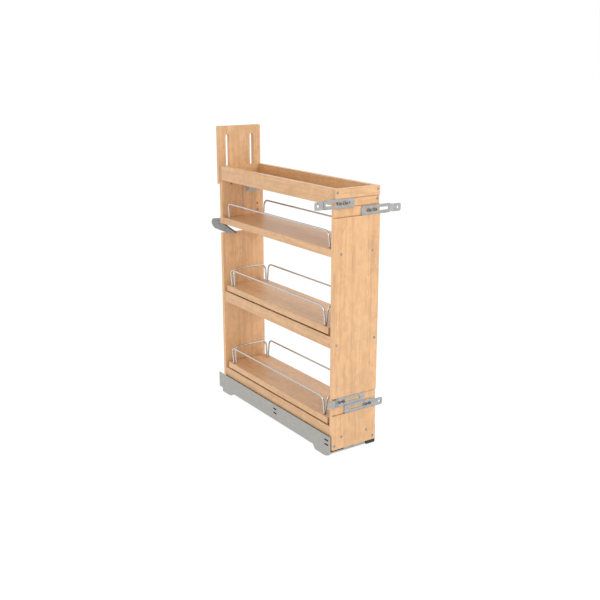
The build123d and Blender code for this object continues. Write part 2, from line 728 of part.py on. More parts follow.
with BuildPart() as tray_bracket:
    block(tray_bracket_x, (bracket_face, inner_rear), (bracket_low, tray_underside))
    block(tray_bracket_x, (tray_bracket_front, inner_rear), (tray_underside - sheet, tray_underside))
    slot_x = sum(tray_bracket_x) / 2
    with BuildSketch(Plane(origin=(slot_x, bracket_face, bracket_low + tray_bracket_slot_rise),
                           x_dir=(1, 0, 0), z_dir=to_rear)):
        SlotOverall(*tray_bracket_slot)
    extrude(amount=sheet, mode=Mode.SUBTRACT)
    for x, z in bracket_leg_screws:
        rod((x, bracket_face, z), to_rear, short_screw_radius + screw_clearance, sheet, Mode.SUBTRACT)
    for x, y in bracket_top_screws:
        rod((x, y, tray_underside - sheet), upward, short_screw_radius + screw_clearance,
            sheet, Mode.SUBTRACT)
save(tray_bracket, "tray_bracket")

with BuildPart() as fitting_screws:
    short_panel_hold = panel_thickness - blind_wall - screw_end_gap
    short_floor_hold = tray_floor_thickness - blind_wall - screw_end_gap
    for x, z in guide_screw_places:
        screw((x, rear_y + guide_foot_thickness, z), to_front, short_screw_radius,
              guide_foot_thickness + short_panel_hold, short_screw_head_radius, short_screw_head_height)
    for x, z in bracket_leg_screws:
        screw((x, bracket_face, z), to_rear, short_screw_radius, sheet + short_panel_hold,
              short_screw_head_radius, short_screw_head_height)
    for x, y in bracket_top_screws:
        screw((x, y, tray_underside - sheet), upward, short_screw_radius, sheet + short_floor_hold,
              short_screw_head_radius, short_screw_head_height)
save(fitting_screws, "fitting_screws")

# ---- slides

# the beam fills the height that the two rows of rollers leave between the cabinet and drawer members
member_top = board_bottom
roller_space = 2 * (roller_radius + roller_gap)
beam_bottom = slide_bottom + slide_sheet + roller_space
beam_top = member_top - slide_sheet - roller_space
lower_roller_z = slide_bottom + slide_sheet + roller_gap + roller_radius
upper_roller_z = beam_top + roller_gap + roller_radius
cage_front = slide_front + cage_setback


def lipped_channel(center_x, width, y_span, z_low, z_high, opens_up):
    # a folded channel with a lip turned in along each free edge
    half = width / 2
    floor_z = (z_low, z_low + slide_sheet) if opens_up else (z_high - slide_sheet, z_high)
    lip_z = (z_high - slide_sheet, z_high) if opens_up else (z_low, z_low + slide_sheet)
    block((center_x - half, center_x + half), y_span, floor_z)
    for edge in (-1, 1):
        outer = center_x + edge * half
        block((outer, outer - edge * slide_sheet), y_span, (z_low, z_high))
        block((outer, outer - edge * (slide_sheet + slide_lip)), y_span, lip_z)


def roller_cage(center_x, roller_z):
    # a flat cage with a window for each roller, and the rollers on their stub axles
    roller_ys = [cage_front + cage_length / 2 + (step - (roller_count - 1) / 2) * roller_pitch
                 for step in range(roller_count)]
    window_half = roller_length / 2 + cage_window_gap
    block((center_x - cage_width / 2, center_x + cage_width / 2), (cage_front, cage_front + cage_length),
          (roller_z - cage_thickness / 2, roller_z + cage_thickness / 2))
    for y in roller_ys:
        block((center_x - window_half, center_x + window_half),
              (y - roller_radius - cage_window_gap, y + roller_radius + cage_window_gap),
              (roller_z - cage_thickness, roller_z + cage_thickness), Mode.SUBTRACT)
        axle_hole_half = roller_length / 2 + roller_axle_overhang + axle_clearance
        rod((center_x - axle_hole_half, y, roller_z), (1, 0, 0), roller_axle_radius + axle_clearance,
            2 * axle_hole_half, Mode.SUBTRACT)
    for y in roller_ys:
        rod((center_x - roller_length / 2, y, roller_z), (1, 0, 0), roller_radius, roller_length)
        rod((center_x - roller_length / 2 - roller_axle_overhang, y, roller_z), (1, 0, 0), roller_axle_radius,
            roller_length + 2 * roller_axle_overhang)


for side_name, side in left_and_right:
    slide_x = side * drawer_member_x
    cabinet_x = side * (side_inner_x - cabinet_member_width / 2)
    slide_span = (slide_front, slide_rear)

    with BuildPart() as cabinet_member:
        lipped_channel(cabinet_x, cabinet_member_width, slide_span, slide_bottom,
                       slide_bottom + cabinet_member_height, True)
        stop_half = cabinet_member_width / 2
        block((cabinet_x - stop_half, cabinet_x + stop_half), (slide_rear, slide_rear + slide_sheet),
              (slide_bottom, slide_bottom + cabinet_member_height))
        for level in side_slot_levels[:1]:
            for inset in side_slot_insets:
                with BuildSketch(Plane(origin=(side * side_inner_x, base_front + inset, level),
                                       x_dir=(0, 1, 0), z_dir=(-side, 0, 0))):
                    SlotOverall(side_slot_length, side_slot_width)
                extrude(amount=slide_sheet, mode=Mode.SUBTRACT)
    save(cabinet_member, f"cabinet_member_{side_name}")

    with BuildPart() as inner_beam:
        beam_half = inner_beam_width / 2
        beam_x = (slide_x - beam_half, slide_x + beam_half)
        block(beam_x, slide_span, (beam_bottom, beam_bottom + slide_sheet))
        block(beam_x, slide_span, (beam_top - slide_sheet, beam_top))
        block((slide_x - inner_beam_web / 2, slide_x + inner_beam_web / 2), slide_span,
              (beam_bottom, beam_top))
    save(inner_beam, f"intermediate_member_{side_name}")

    with BuildPart() as drawer_member:
        lipped_channel(slide_x, drawer_member_width, (inner_front + front_flange_thickness, slide_rear),
                       member_top - drawer_member_height, member_top, False)
        for x, y in base_screw_places:
            if x * side > 0:
                rod((x, y, member_top), downward, wood_screw_radius + screw_clearance,
                    slide_sheet, Mode.SUBTRACT)
    save(drawer_member, f"drawer_member_{side_name}")

    with BuildPart() as lower_cage:
        roller_cage(slide_x, lower_roller_z)
    save(lower_cage, f"lower_roller_cage_{side_name}")

    with BuildPart() as upper_cage:
        roller_cage(slide_x, upper_roller_z)
    save(upper_cage, f"upper_roller_cage_{side_name}")

    with BuildPart() as front_flange:
        outer = side * (half_width - front_flange_inset)
        block((outer, outer - side * front_flange_width), (inner_front, inner_front + front_flange_thickness),
              (panel_bottom + front_flange_rise, member_top - front_flange_drop))
        fillet(front_flange.edges().filter_by(Axis.Y), radius=front_flange_corner)
        for x, z in flange_screw_places:
            if x * side > 0:
                rod((x, inner_front, z), to_rear, wood_screw_radius + screw_clearance,
                    front_flange_thickness, Mode.SUBTRACT)
    save(front_flange, f"front_flange_{side_name}")

# ---- steel base

for side_name, side in left_and_right:
    with BuildPart() as side_plate:
        rear_foot_end = base_rear - rear_foot_inset
        rear_foot_start = rear_foot_end - rear_foot_length
        front_foot_end = base_front + front_foot_length
        toe_length, toe_height = front_foot_toe
        with BuildSketch(Plane(origin=(side * side_inner_x, 0, 0), x_dir=(0, 1, 0), z_dir=(1, 0, 0))):
            with BuildLine():
                Polyline((base_front, toe_height), (base_front, side_plate_top), (base_rear, side_plate_top),
                         (base_rear, side_plate_bottom), (rear_foot_end, side_plate_bottom),
                         (rear_foot_end, foot_corner), (rear_foot_end - foot_corner, 0),
                         (rear_foot_start + rear_foot_slope, 0),
                         (rear_foot_start, side_plate_bottom), (front_foot_end, side_plate_bottom),
                         (front_foot_end - front_foot_slope, 0), (base_front + toe_length, 0))
                TangentArc((base_front + toe_length, 0), (base_front, toe_height), tangent=(-1, 0))
            make_face()
        extrude(amount=side * sheet)
        for center_y in (-floor_hole_y, floor_hole_y):
            block((side * side_inner_x, side * (side_inner_x - foot_tab_reach)),
                  (center_y - foot_tab_length / 2, center_y + foot_tab_length / 2), (0, sheet))
            rod((side * floor_hole_x, center_y, 0), upward, floor_hole_radius, sheet, Mode.SUBTRACT)
        for level in side_slot_levels:
            for inset in side_slot_insets:
                with BuildSketch(Plane(origin=(side * side_outer_x, base_front + inset, level),
                                       x_dir=(0, 1, 0), z_dir=(-side, 0, 0))):
                    SlotOverall(side_slot_length, side_slot_width)
                extrude(amount=sheet, mode=Mode.SUBTRACT)
    save(side_plate, f"side_plate_{side_name}")

bar_bottom = side_plate_bottom
bar_top = bar_bottom + cross_bar_height
bar_screw_z = bar_bottom + cross_bar_screw_rise

with BuildPart() as front_cross_bar:
    block((-side_inner_x, side_inner_x), (base_front, base_front + cross_bar_width),
          (bar_bottom, bar_bottom + cross_bar_sheet))
    block((-side_inner_x, cross_bar_strip[1]), (base_front, base_front + cross_bar_sheet),
          (bar_bottom, bar_bottom + cross_bar_low_height))
    block(cross_bar_strip, (base_front, base_front + cross_bar_sheet), (bar_bottom, bar_top))
    block(cross_bar_strip, (base_front, base_front + cross_bar_width / 2),
          (bar_top - cross_bar_sheet, bar_top))
    rod((cross_bar_screw_x, base_front, bar_screw_z), to_rear, short_screw_radius + screw_clearance,
        cross_bar_sheet, Mode.SUBTRACT)
save(front_cross_bar, "front_cross_bar")

with BuildPart() as rear_cross_bar:
    block((-side_inner_x, side_inner_x), (base_rear - cross_bar_width, base_rear),
          (bar_bottom, bar_bottom + cross_bar_sheet))
    block((-side_inner_x, side_inner_x), (base_rear - cross_bar_sheet, base_rear), (bar_bottom, bar_top))
save(rear_cross_bar, "rear_cross_bar")

with BuildPart() as cross_bar_screw:
    screw((cross_bar_screw_x, base_front, bar_screw_z), to_rear, short_screw_radius, cross_bar_screw_length,
          cross_bar_screw_head_radius, short_screw_head_height)
save(cross_bar_screw, "cross_bar_screw")

with BuildPart() as soft_close_unit:
    closer_x = side_inner_x - closer_inset - closer_width / 2
    closer_y = (slide_front - closer_lead, slide_front - closer_lead + closer_length)
    block((closer_x - closer_width / 2, closer_x + closer_width / 2), closer_y,
          (bar_bottom + cross_bar_sheet, slide_bottom))
    fillet(soft_close_unit.edges().filter_by(Axis.Y).group_by(Axis.Z)[0], radius=closer_corner)
    # a nose at its front hooks over the cross bar
    nose_x = (closer_x - closer_width / 2, closer_x + closer_width / 2 + closer_nose_extra_width)
    nose_front = base_front - closer_nose_reach
    block(nose_x, (nose_front, base_front - closer_gap), closer_nose_z)
    block(nose_x, (nose_front, closer_y[0]), (bar_bottom + cross_bar_sheet + closer_gap, closer_nose_z[1]))
save(soft_close_unit, "soft_close_unit")
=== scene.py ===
import json
import math

import bmesh
import bpy
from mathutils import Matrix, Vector


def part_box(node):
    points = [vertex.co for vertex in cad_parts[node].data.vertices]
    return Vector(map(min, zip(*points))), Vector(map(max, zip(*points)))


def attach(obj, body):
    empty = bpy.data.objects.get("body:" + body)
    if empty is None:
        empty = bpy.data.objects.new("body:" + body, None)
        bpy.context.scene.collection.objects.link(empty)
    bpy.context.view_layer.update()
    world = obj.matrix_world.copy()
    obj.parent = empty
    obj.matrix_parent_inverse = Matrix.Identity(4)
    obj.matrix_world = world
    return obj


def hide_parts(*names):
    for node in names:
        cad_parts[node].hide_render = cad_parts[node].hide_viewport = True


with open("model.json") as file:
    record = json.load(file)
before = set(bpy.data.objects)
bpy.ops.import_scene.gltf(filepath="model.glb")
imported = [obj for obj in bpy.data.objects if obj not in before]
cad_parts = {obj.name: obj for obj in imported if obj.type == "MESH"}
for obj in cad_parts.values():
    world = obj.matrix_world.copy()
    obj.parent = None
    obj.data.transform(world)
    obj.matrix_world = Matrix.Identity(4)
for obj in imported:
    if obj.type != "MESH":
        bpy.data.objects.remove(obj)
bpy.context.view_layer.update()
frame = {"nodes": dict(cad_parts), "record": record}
print("frame loaded:", len(frame["nodes"]), "nodes")

bodyOf = {node: body for body, nodes in frame["record"]["behaviour"]["bodies"].items() for node in nodes}
slotOf = {part["node"]: part["material_slot"] for part in frame["record"]["subparts"]}
sides = ("left", "right")


# node trees

def newMaterial(name):
    mat = bpy.data.materials.new(name)
    mat.use_nodes = True
    tree = mat.node_tree
    tree.nodes.clear()
    out = tree.nodes.new("ShaderNodeOutputMaterial")
    shader = tree.nodes.new("ShaderNodeBsdfPrincipled")
    tree.links.new(shader.outputs["BSDF"], out.inputs["Surface"])
    return mat, tree, shader


def plug(tree, source, target):
    # source is a socket or a plain value
    if isinstance(source, bpy.types.NodeSocket):
        tree.links.new(source, target)
    else:
        target.default_value = source


def placed(tree, scale, shift=(0, 0, 0), turn=(0, 0, 0)):
    coords = tree.nodes.new("ShaderNodeTexCoord")
    mapping = tree.nodes.new("ShaderNodeMapping")
    tree.links.new(coords.outputs["Object"], mapping.inputs["Vector"])
    mapping.inputs["Location"].default_value = shift
    mapping.inputs["Rotation"].default_value = turn
    mapping.inputs["Scale"].default_value = scale
    return mapping.outputs["Vector"]


def noise(tree, vector, detail=2.0, rough=0.5, distort=0.0):
    # the size of the pattern comes from the mapping of the vector
    node = tree.nodes.new("ShaderNodeTexNoise")
    tree.links.new(vector, node.inputs["Vector"])
    node.inputs["Scale"].default_value = 1.0
    node.inputs["Detail"].default_value = detail
    node.inputs["Roughness"].default_value = rough
    node.inputs["Distortion"].default_value = distort
    return node.outputs["Fac"]


def ramp(tree, source, stops, smooth=False):
    node = tree.nodes.new("ShaderNodeValToRGB")
    if smooth:
        node.color_ramp.interpolation = "EASE"
    line = node.color_ramp.elements
    while len(line) < len(stops):
        line.new(0.5)
    for element, (place, color) in zip(line, stops):
        element.position = place
        element.color = color if len(color) == 4 else (*color, 1.0)
    tree.links.new(source, node.inputs["Fac"])
    return node.outputs["Color"]


def grey(level):
    return (level, level, level, 1.0)


def mixColor(tree, amount, first, second, blend="MIX"):
    # sockets 0, 6 and 7 are the factor and the two colours
    node = tree.nodes.new("ShaderNodeMix")
    node.data_type = "RGBA"
    node.blend_type = blend
    plug(tree, amount, node.inputs[0])
    plug(tree, first, node.inputs[6])
    plug(tree, second, node.inputs[7])
    return node.outputs[2]


def maths(tree, kind, first, second=0.0):
    node = tree.nodes.new("ShaderNodeMath")
    node.operation = kind
    plug(tree, first, node.inputs[0])
    plug(tree, second, node.inputs[1])
    return node.outputs[0]


def bumped(tree, shader, height, strength, distance):
    node = tree.nodes.new("ShaderNodeBump")
    node.inputs["Strength"].default_value = strength
    node.inputs["Distance"].default_value = distance
    tree.links.new(height, node.inputs["Height"])
    tree.links.new(node.outputs["Normal"], shader.inputs["Normal"])


# maple

maple = {
    "pale": (0.665, 0.400, 0.205),
    "warm": (0.590, 0.340, 0.165),
    "line": (0.430, 0.220, 0.095),
    "fleck": (0.32, 0.16, 0.07),
    "end": (0.50, 0.29, 0.14),
    "broadGrain": (22.0, 1.5),      # noise per metre across and along the grain
    "ringGrain": (115.0, 3.2),
    "fibreGrain": (1300.0, 26.0),
    "fleckGrain": (520.0, 46.0),
    "figureGrain": (46.0, 30.0),
    "poreGrain": (900.0, 900.0, 900.0),
    "arcGrain": (60.0, 60.0, 60.0),
    "lineStrength": 0.34,
    "fleckStrength": 0.42,
    "endStrength": 0.75,
    "roughness": (0.34, 0.50),
    "coat": 0.22,
    "coatRoughness": 0.28,
    "ior": 1.48,
    "bump": (0.22, 0.00025),        # strength, distance in metres
}


def grainScale(pair, axis):
    across, along = pair
    return tuple(along if index == axis else across for index in range(3))


def mapleMaterial(name, axis, seed, toneAndPaintedLight=1.0):
    mat, tree, shader = newMaterial(name)
    shift = (seed * 1.37, seed * 2.11, seed * 0.73)
    tilt = [0.0, 0.0, 0.0]
    tilt[(axis + 1) % 3] = 0.02 * math.sin(seed * 4.1)       # boards are never cut quite along the grain

    def grain(kind, detail, rough, distort=0.0):
        vector = placed(tree, grainScale(maple[kind], axis), shift, tilt)
        return noise(tree, vector, detail, rough, distort)

    broad = grain("broadGrain", 3.0, 0.55, 0.6)
    rings = grain("ringGrain", 5.0, 0.62, 0.9)
    fibres = grain("fibreGrain", 2.0, 0.5)
    flecks = grain("fleckGrain", 1.0, 0.5)
    figure = grain("figureGrain", 3.0, 0.5, 1.2)
    color = ramp(tree, broad, ((0.30, maple["warm"]), (0.68, maple["pale"])), True)
    lineMask = ramp(tree, rings, ((0.50, grey(0.0)), (0.60, grey(1.0)), (0.72, grey(0.1))), True)
    lineAmount = maths(tree, "MULTIPLY", lineMask, maple["lineStrength"])
    color = mixColor(tree, lineAmount, color, (*maple["line"], 1.0))
    figureTone = ramp(tree, figure, ((0.32, grey(0.90)), (0.66, grey(1.06))), True)
    color = mixColor(tree, 0.8, color, figureTone, "MULTIPLY")
    fibreTone = ramp(tree, fibres, ((0.30, grey(0.93)), (0.70, grey(1.04))))
    color = mixColor(tree, 0.9, color, fibreTone, "MULTIPLY")
    fleckMask = ramp(tree, flecks, ((0.66, grey(0.0)), (0.76, grey(1.0))))
    fleckAmount = maths(tree, "MULTIPLY", fleckMask, maple["fleckStrength"])
    color = mixColor(tree, fleckAmount, color, (*maple["fleck"], 1.0))
    # end grain shows where the surface faces along the board
    coords = tree.nodes.new("ShaderNodeTexCoord")
    split = tree.nodes.new("ShaderNodeSeparateXYZ")
    tree.links.new(coords.outputs["Normal"], split.inputs["Vector"])
    facing = maths(tree, "ABSOLUTE", split.outputs[axis])
    endMask = ramp(tree, facing, ((0.55, grey(0.0)), (0.85, grey(1.0))))
    pores = noise(tree, placed(tree, maple["poreGrain"], shift), 2.0, 0.7)
    arcs = noise(tree, placed(tree, maple["arcGrain"], shift), 4.0, 0.6, 1.5)
    poreMask = ramp(tree, pores, ((0.42, grey(0.0)), (0.70, grey(0.8))))
    arcMask = ramp(tree, arcs, ((0.35, grey(0.0)), (0.65, grey(0.55))))
    endColor = mixColor(tree, poreMask, (*maple["end"], 1.0), (*maple["fleck"], 1.0))
    endColor = mixColor(tree, arcMask, endColor, (*maple["warm"], 1.0))
    color = mixColor(tree, maths(tree, "MULTIPLY", endMask, maple["endStrength"]), color, endColor)
    # the board's tone multiplies the colour; on some boards this is painted light, lighter where light falls
    # on the front and lifted out of shade on the rear panels
    if toneAndPaintedLight != 1.0:
        color = mixColor(tree, 1.0, color, grey(toneAndPaintedLight), "MULTIPLY")
    tree.links.new(color, shader.inputs["Base Color"])
    low, high = maple["roughness"]
    tree.links.new(ramp(tree, fibres, ((0.3, grey(low)), (0.7, grey(high)))), shader.inputs["Roughness"])
    shader.inputs["Coat Weight"].default_value = maple["coat"]
    shader.inputs["Coat Roughness"].default_value = maple["coatRoughness"]
    shader.inputs["IOR"].default_value = maple["ior"]
    height = maths(tree, "SUBTRACT", fibres, maths(tree, "MULTIPLY", fleckMask, 0.6))
    bumped(tree, shader, height, *maple["bump"])
    return mat


# metals and plastics

metals = {
    "zinc_sheet": {"color": (0.425, 0.42, 0.395), "dark": (0.395, 0.39, 0.365), "rough": (0.42, 0.54),
                   "metallic": 0.85},
    "bracket_steel": {"color": (0.46, 0.46, 0.455), "dark": (0.40, 0.40, 0.395), "rough": (0.34, 0.46),
                      "metallic": 0.92},
    "zinc_screws": {"color": (0.47, 0.445, 0.40), "dark": (0.36, 0.34, 0.30), "rough": (0.36, 0.50),
                    "metallic": 0.95},
    # dark_screws: its colour and dark are painted shade, standing in for the shade inside the heads' deep
    # cross recesses
    "dark_screws": {"color": (0.22, 0.215, 0.205), "dark": (0.15, 0.146, 0.14), "rough": (0.34, 0.48),
                    "metallic": 0.90},
}


def metalMaterial(name):
    look = metals[name]
    mat, tree, shader = newMaterial(name)
    mottle = noise(tree, placed(tree, (55.0, 55.0, 55.0)), 5.0, 0.62, 0.8)
    spangle = tree.nodes.new("ShaderNodeTexVoronoi")
    tree.links.new(placed(tree, (170.0, 170.0, 170.0)), spangle.inputs["Vector"])
    spangle.inputs["Scale"].default_value = 1.0
    drawn = noise(tree, placed(tree, (1400.0, 24.0, 1400.0)), 3.0, 0.6)
    color = ramp(tree, mottle, ((0.32, look["dark"]), (0.62, look["color"])), True)
    spangleTone = ramp(tree, spangle.outputs["Color"], ((0.0, grey(0.94)), (1.0, grey(1.03))))
    color = mixColor(tree, 0.8, color, spangleTone, "MULTIPLY")
    drawnTone = ramp(tree, drawn, ((0.3, grey(0.95)), (0.7, grey(1.03))))
    color = mixColor(tree, 0.7, color, drawnTone, "MULTIPLY")
    tree.links.new(color, shader.inputs["Base Color"])
    low, high = look["rough"]
    blend = maths(tree, "ADD", maths(tree, "MULTIPLY", mottle, 0.55), maths(tree, "MULTIPLY", drawn, 0.45))
    tree.links.new(ramp(tree, blend, ((0.36, grey(low)), (0.64, grey(high)))), shader.inputs["Roughness"])
    shader.inputs["Metallic"].default_value = look["metallic"]
    bumped(tree, shader, drawn, 0.10, 0.0002)
    return mat


def chromeMaterial():
    mat, tree, shader = newMaterial("chrome_wire")
    haze = noise(tree, placed(tree, (240.0, 240.0, 240.0)), 4.0, 0.6)
    tree.links.new(ramp(tree, haze, ((0.35, (0.54, 0.53, 0.52)), (0.65, (0.66, 0.65, 0.63)))),
                   shader.inputs["Base Color"])
    tree.links.new(ramp(tree, haze, ((0.35, grey(0.10)), (0.70, grey(0.22)))), shader.inputs["Roughness"])
    shader.inputs["Metallic"].default_value = 1.0
    bumped(tree, shader, haze, 0.04, 0.0002)
    return mat


plastics = {
    "grey_plastic": {"color": (0.215, 0.210, 0.205), "dark": (0.170, 0.166, 0.162), "rough": (0.36, 0.52)},
    "black_plastic": {"color": (0.018, 0.018, 0.019), "dark": (0.010, 0.010, 0.011), "rough": (0.40, 0.55)},
    "white_nylon": {"color": (0.74, 0.73, 0.69), "dark": (0.66, 0.64, 0.60), "rough": (0.42, 0.56)},
    "strip_rubber": {"color": (0.030, 0.030, 0.030), "dark": (0.018, 0.018, 0.018), "rough": (0.62, 0.80)},
}


def plasticMaterial(name):
    look = plastics[name]
    mat, tree, shader = newMaterial(name)
    flow = noise(tree, placed(tree, (38.0, 38.0, 38.0)), 3.0, 0.55, 0.7)
    stipple = noise(tree, placed(tree, (1700.0, 1700.0, 1700.0)), 2.0, 0.5)
    color = ramp(tree, flow, ((0.35, look["dark"]), (0.65, look["color"])))
    tree.links.new(color, shader.inputs["Base Color"])
    low, high = look["rough"]
    tree.links.new(ramp(tree, stipple, ((0.35, grey(low)), (0.65, grey(high)))), shader.inputs["Roughness"])
    bumped(tree, shader, stipple, 0.16, 0.00015)
    return mat


finishes = {name: metalMaterial(name) for name in metals}
finishes.update({name: plasticMaterial(name) for name in plastics})
finishes["chrome_wire"] = chromeMaterial()
print("materials made")


# mesh helpers

def addPiece(name, mesh, node, mat, *more):
    piece = bpy.data.objects.new(name, mesh)
    bpy.context.scene.collection.objects.link(piece)
    mesh.materials.clear()
    mesh.materials.append(mat)
    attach(piece, bodyOf[node])
    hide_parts(node, *more)
    return piece


def softEdges(mesh, limit):
    # smooth shading that breaks only at real corners
    work = bmesh.new()
    work.from_mesh(mesh)
    for face in work.faces:
        face.smooth = True
    for edge in work.edges:
        edge.smooth = len(edge.link_faces) == 2 and edge.calc_face_angle(0.0) < limit
    work.to_mesh(mesh)
    work.free()


def cleanCopy(node):
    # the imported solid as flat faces, ready to have its edges eased
    mesh = frame["nodes"][node].data.copy()
    work = bmesh.new()
    work.from_mesh(mesh)
    bmesh.ops.remove_doubles(work, verts=work.verts, dist=2e-6)
    bmesh.ops.dissolve_limit(work, angle_limit=math.radians(0.6), verts=work.verts, edges=work.edges)
    work.to_mesh(mesh)
    work.free()
    return mesh


def easedPiece(node, mat, width, steps=2, corner=35):
    mesh = cleanCopy(node)
    softEdges(mesh, math.radians(corner))
    piece = addPiece(f"{node}_finished", mesh, node, mat)
    easing = piece.modifiers.new("easedEdges", "BEVEL")
    easing.width = width
    easing.segments = steps
    easing.limit_method = "ANGLE"
    easing.angle_limit = math.radians(corner)
    easing.harden_normals = True
    easing.use_clamp_overlap = True
    return piece


# wooden boards: grain axis, seed and tone of each; the tone is partly painted light: the front panel and
# tray front wall are made lighter as if lit from the front, the two rear panels are lifted against the shade
# they stand in, and the other boards differ a little in tone at random

boards = {
    "front_panel": (2, 1.0, 1.06),
    "rear_lower_panel": (2, 2.3, 1.12),
    "rear_upper_panel": (2, 3.1, 1.10),
    "back_plate": (2, 4.7, 0.99),
    "upper_shelf": (1, 5.2, 0.99),
    "middle_shelf": (1, 6.4, 0.98),
    "lower_shelf": (1, 7.9, 0.98),
    "middle_stretcher_left": (1, 8.3, 0.98),
    "middle_stretcher_right": (1, 9.1, 0.97),
    "base_board": (1, 10.6, 0.97),
    "tray_front_wall": (0, 11.2, 1.05),
    "tray_rear_wall": (0, 12.8, 0.98),
    "tray_left_wall": (1, 13.4, 0.99),
    "tray_right_wall": (1, 14.7, 0.97),
    "tray_floor": (1, 15.9, 0.95),
}
woodEdge = 0.0007

for node, (axis, seed, toneAndPaintedLight) in boards.items():
    easedPiece(node, mapleMaterial(f"maple_{node}", axis, seed, toneAndPaintedLight), woodEdge, 3)
print("boards finished")


# sheet steel, slides and moulded parts: width of the eased edge of each

solidParts = {
    "side_plate": (0.00035, sides),
    "cabinet_member": (0.00025, sides),
    "drawer_member": (0.00025, sides),
    "intermediate_member": (0.00025, sides),
    "front_flange": (0.00030, sides),
    "lower_roller_cage": (0.00020, sides),
    "upper_roller_cage": (0.00020, sides),
    "front_cross_bar": (0.00025, ()),
    "rear_cross_bar": (0.00025, ()),
    "tray_bracket": (0.00035, ()),
    "guide_arm": (0.00090, ()),
    "soft_close_unit": (0.00050, ()),
    "middle_shelf_strips": (0.00030, ()),
    "lower_shelf_strips": (0.00030, ()),
    "door_bracket_upper": (0.00035, sides),
    "door_bracket_lower": (0.00035, sides),
}
for stem, (width, ends) in solidParts.items():
    for node in [f"{stem}_{end}" for end in ends] or [stem]:
        easedPiece(node, finishes[slotOf[node]], width)
print("sheet steel and mouldings finished")


# wire rails

wire = {"radius": 0.0024, "bend": 0.014, "bendSteps": 10, "around": 20, "footReach": 0.0012}


def arcPoints(corner, before, after, radius, steps):
    into = (corner - before).normalized()
    away = (after - corner).normalized()
    center = corner - into * radius + away * radius
    first = -away * radius
    points = []
    for step in range(steps + 1):
        angle = math.pi / 2 * step / steps
        points.append(center + first * math.cos(angle) + into * radius * math.sin(angle))
    return points


def tubeMesh(name, path, radius, around):
    # every path here lies in one plane, so its normal serves as the side direction
    side = (path[1] - path[0]).cross(path[len(path) // 2] - path[0]).normalized()
    work = bmesh.new()
    rings = []
    for index, point in enumerate(path):
        ahead = path[min(index + 1, len(path) - 1)] - path[max(index - 1, 0)]
        lift = side.cross(ahead.normalized()).normalized()
        ring = []
        for step in range(around):
            angle = 2 * math.pi * step / around
            offset = side * radius * math.cos(angle) + lift * radius * math.sin(angle)
            ring.append(work.verts.new(point + offset))
        rings.append(ring)
    for ring, following in zip(rings, rings[1:]):
        for step in range(around):
            after = (step + 1) % around
            work.faces.new((ring[step], ring[after], following[after], following[step]))
    work.faces.new(list(reversed(rings[0])))
    work.faces.new(rings[-1])
    bmesh.ops.recalc_face_normals(work, faces=work.faces)
    mesh = bpy.data.meshes.new(name)
    work.to_mesh(mesh)
    work.free()
    softEdges(mesh, math.radians(50))
    return mesh


railNodes = [f"upper_rail_{side}" for side in sides]
railNodes += [f"{shelf}_rail_{end}" for shelf in ("middle", "lower") for end in (*sides, "front", "rear")]
for node in railNodes:
    low, high = (Vector(corner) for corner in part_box(node))
    radius = wire["radius"]
    along = 1 if high.y - low.y > high.x - low.x else 0
    across = 1 - along
    points = [vert.co for vert in frame["nodes"][node].data.vertices]
    feet = [point for point in points if point.z < low.z + wire["footReach"]]
    start = sum(feet, Vector()) / len(feet)         # both feet share their place across the rail
    crest = start.copy()
    outer = high if (low + high)[across] > 0 else low
    crest[across] = outer[across] - math.copysign(radius, outer[across])
    crest.z = high.z - radius
    ends = (low[along] + radius, high[along] - radius)
    footA, headA, headB, footB = (point.copy() for point in (start, crest, crest, start))
    footA[along] = headA[along] = ends[0]
    footB[along] = headB[along] = ends[1]
    path = [footA]
    path += arcPoints(headA, footA, headB, wire["bend"], wire["bendSteps"])
    path += arcPoints(headB, headA, footB, wire["bend"], wire["bendSteps"])
    path.append(footB)
    addPiece(f"{node}_wire", tubeMesh(node, path, radius, wire["around"]), node, finishes["chrome_wire"])
print("rails bent")


# screws and washers

fasteners = {
    "around": 40,
    "rings": (0.0, 0.10, 0.20, 0.30, 0.38, 0.46, 0.54, 0.62, 0.72, 0.84, 0.93, 0.98, 1.0),
    "armHalfWidth": 0.13,      # the cross recess, as parts of the head's radius
    "armReach": 0.52,
    "recessDepth": 0.0011,
    "rimEase": 0.0002,
    "washerPlay": 0.0001,
    "washerEase": 0.22,        # as a part of its thickness
    "washerLimit": 0.0012,     # anything thinner than this is a washer
    "headReach": 0.0002,
    "firstTurn": 0.7,
    "turnStep": 1.9,
}


def loosePieces(node):
    # lowest and highest corner of every separate solid in a node
    work = bmesh.new()
    work.from_mesh(frame["nodes"][node].data)
    bmesh.ops.remove_doubles(work, verts=work.verts, dist=2e-6)
    seen = set()
    found = []
    for vert in work.verts:
        if vert in seen:
            continue
        stack, group = [vert], []
        seen.add(vert)
        while stack:
            here = stack.pop()
            group.append(here.co.copy())
            for edge in here.link_edges:
                other = edge.other_vert(here)
                if other not in seen:
                    seen.add(other)
                    stack.append(other)
        low = Vector([min(co[axis] for co in group) for axis in range(3)])
        high = Vector([max(co[axis] for co in group) for axis in range(3)])
        found.append((low, high, group))
    work.free()
    return found


def crossDepth(x, y):
    # how far a point of the head is sunk, from 0 to 1
    def arm(alongArm, acrossArm):
        edge = (fasteners["armHalfWidth"] * (1.25 - alongArm) - acrossArm) / 0.05
        end = (fasteners["armReach"] - alongArm) / 0.10
        return max(0.0, min(1.0, edge)) * max(0.0, min(1.0, end))
    return max(arm(abs(x), abs(y)), arm(abs(y), abs(x)))


def addRing(work, center, side, lift, turn=0.0):
    angles = [2 * math.pi * step / fasteners["around"] + turn for step in range(fasteners["around"])]
    return [work.verts.new(center + side * math.cos(angle) + lift * math.sin(angle)) for angle in angles]


